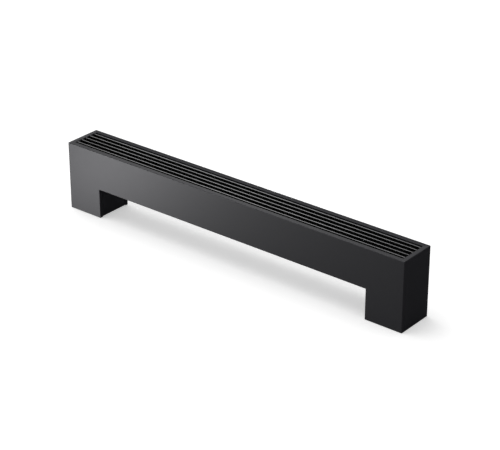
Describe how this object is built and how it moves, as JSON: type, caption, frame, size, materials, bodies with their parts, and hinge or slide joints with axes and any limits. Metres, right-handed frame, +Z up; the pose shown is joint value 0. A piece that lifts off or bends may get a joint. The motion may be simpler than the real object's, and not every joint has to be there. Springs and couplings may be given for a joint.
{
  "type": "floor convector",
  "caption": "Low portal-shaped floor convector: lift-off sheet-steel casing with a bar grille over a finned water exchanger, with its valves in the right leg.",
  "frame": {"origin": "on the floor, under the middle of the casing", "axes": "+X along the length towards the leg with the pipes, -Y is the front, +Z is up"},
  "size_m": [1.3, 0.13, 0.23],
  "materials": {
    "coat": "fine satin black powder coat",
    "grille": "black anodised, satin",
    "matt_black": "matt black",
    "zinc": "galvanised",
    "fins": "bare mill finish",
    "copper": "bare drawn copper",
    "brass": "turned and cast brass",
    "rubber": "matt",
    "cap": "white, fine grain"
  },
  "bodies": {
    "stand": {"fin_pack": "fins", "exchanger_end_plates": "zinc", "water_tubes": "copper", "return_bends": "copper", "supply_header": "brass", "valve_seat": "zinc", "valve_bonnet": "brass", "return_header": "brass", "air_vent_body": "brass", "drain_plug": "brass", "union_nuts": "brass", "union_gaskets": "rubber", "isolating_valves": "brass", "gland_nuts": "brass", "compression_nuts": "brass", "compression_olives": "brass", "left_console": "zinc", "right_console": "zinc", "tube_bushes": "rubber", "bush_retainers": "zinc", "retainer_screws": "zinc", "casing_caps": "rubber", "left_leg_panel": "coat", "right_leg_panel": "coat", "panel_nuts": "zinc"},
    "casing": {"casing_shell": "coat", "rear_panel": "coat", "rear_panel_screws": "zinc", "cross_members": "matt_black", "end_ledges": "matt_black", "grille_pads": "rubber"},
    "grille": {"grille_bars": "grille", "grille_tie_rods": "matt_black", "grille_spacers": "matt_black"},
    "wheel": {"hand_wheel": "cap"},
    "spindle": {"valve_spindle": "zinc"},
    "vent_screw": {"air_vent_screw": "brass"},
    "supply_stop": {"supply_plug": "zinc"},
    "return_stop": {"return_plug": "zinc"},
    "left_front_foot": {"left_front_stud": "zinc", "left_front_sole": "rubber"},
    "left_front_foot_nut": {"left_front_nut": "zinc"},
    "left_rear_foot": {"left_rear_stud": "zinc", "left_rear_sole": "rubber"},
    "left_rear_foot_nut": {"left_rear_nut": "zinc"},
    "right_front_foot": {"right_front_stud": "zinc", "right_front_sole": "rubber"},
    "right_front_foot_nut": {"right_front_nut": "zinc"},
    "right_rear_foot": {"right_rear_stud": "zinc", "right_rear_sole": "rubber"},
    "right_rear_foot_nut": {"right_rear_nut": "zinc"}
  },
  "joints": [
    {"name": "casing_lift", "type": "slide", "parent": "stand", "child": "casing", "axis": [0, 0, 1], "range_m": [0, 0.26]},
    {"name": "grille_lift", "type": "slide", "parent": "casing", "child": "grille", "axis": [0, 0, 1], "range_m": [0, 0.06]},
    {"name": "wheel_turn", "type": "hinge", "parent": "stand", "child": "wheel", "pos_m": [0.5563, -0.025, 0.19], "axis": [0, 0, 1], "range_deg": [-288, 0]},
    {"name": "spindle_slide", "type": "slide", "parent": "stand", "child": "spindle", "axis": [0, 0, 1], "range_m": [-0.0024, 0]},
    {"name": "vent_turn", "type": "hinge", "parent": "stand", "child": "vent_screw", "pos_m": [0.5563, 0.025, 0.185], "axis": [0, 0, 1], "range_deg": [0, 360]},
    {"name": "supply_stop_turn", "type": "hinge", "parent": "stand", "child": "supply_stop", "pos_m": [0.5563, -0.025, 0.06], "axis": [1, 0, 0], "range_deg": [0, 90]},
    {"name": "return_stop_turn", "type": "hinge", "parent": "stand", "child": "return_stop", "pos_m": [0.5563, 0.025, 0.06], "axis": [1, 0, 0], "range_deg": [0, 90]},
    {"name": "left_front_nut_turn", "type": "hinge", "parent": "stand", "child": "left_front_foot_nut", "pos_m": [-0.6005, -0.042, 0.01], "axis": [0, 0, 1], "range_deg": [0, 2160]},
    {"name": "left_front_foot_slide", "type": "slide", "parent": "stand", "child": "left_front_foot", "axis": [0, 0, -1], "range_m": [0, 0.009]},
    {"name": "left_rear_nut_turn", "type": "hinge", "parent": "stand", "child": "left_rear_foot_nut", "pos_m": [-0.6005, 0.042, 0.01], "axis": [0, 0, 1], "range_deg": [0, 2160]},
    {"name": "left_rear_foot_slide", "type": "slide", "parent": "stand", "child": "left_rear_foot", "axis": [0, 0, -1], "range_m": [0, 0.009]},
    {"name": "right_front_nut_turn", "type": "hinge", "parent": "stand", "child": "right_front_foot_nut", "pos_m": [0.6005, -0.042, 0.01], "axis": [0, 0, 1], "range_deg": [0, 2160]},
    {"name": "right_front_foot_slide", "type": "slide", "parent": "stand", "child": "right_front_foot", "axis": [0, 0, -1], "range_m": [0, 0.009]},
    {"name": "right_rear_nut_turn", "type": "hinge", "parent": "stand", "child": "right_rear_foot_nut", "pos_m": [0.6005, 0.042, 0.01], "axis": [0, 0, 1], "range_deg": [0, 2160]},
    {"name": "right_rear_foot_slide", "type": "slide", "parent": "stand", "child": "right_rear_foot", "axis": [0, 0, -1], "range_m": [0, 0.009]}
  ],
  "couplings": [
    {"joint": "spindle_slide", "follows": "wheel_turn", "m_per_rad": 0.00047746},
    {"joint": "left_front_nut_turn", "follows": "left_front_foot_slide", "rad_per_m": 4188.8},
    {"joint": "left_rear_nut_turn", "follows": "left_rear_foot_slide", "rad_per_m": 4188.8},
    {"joint": "right_front_nut_turn", "follows": "right_front_foot_slide", "rad_per_m": 4188.8},
    {"joint": "right_rear_nut_turn", "follows": "right_rear_foot_slide", "rad_per_m": 4188.8}
  ]
}
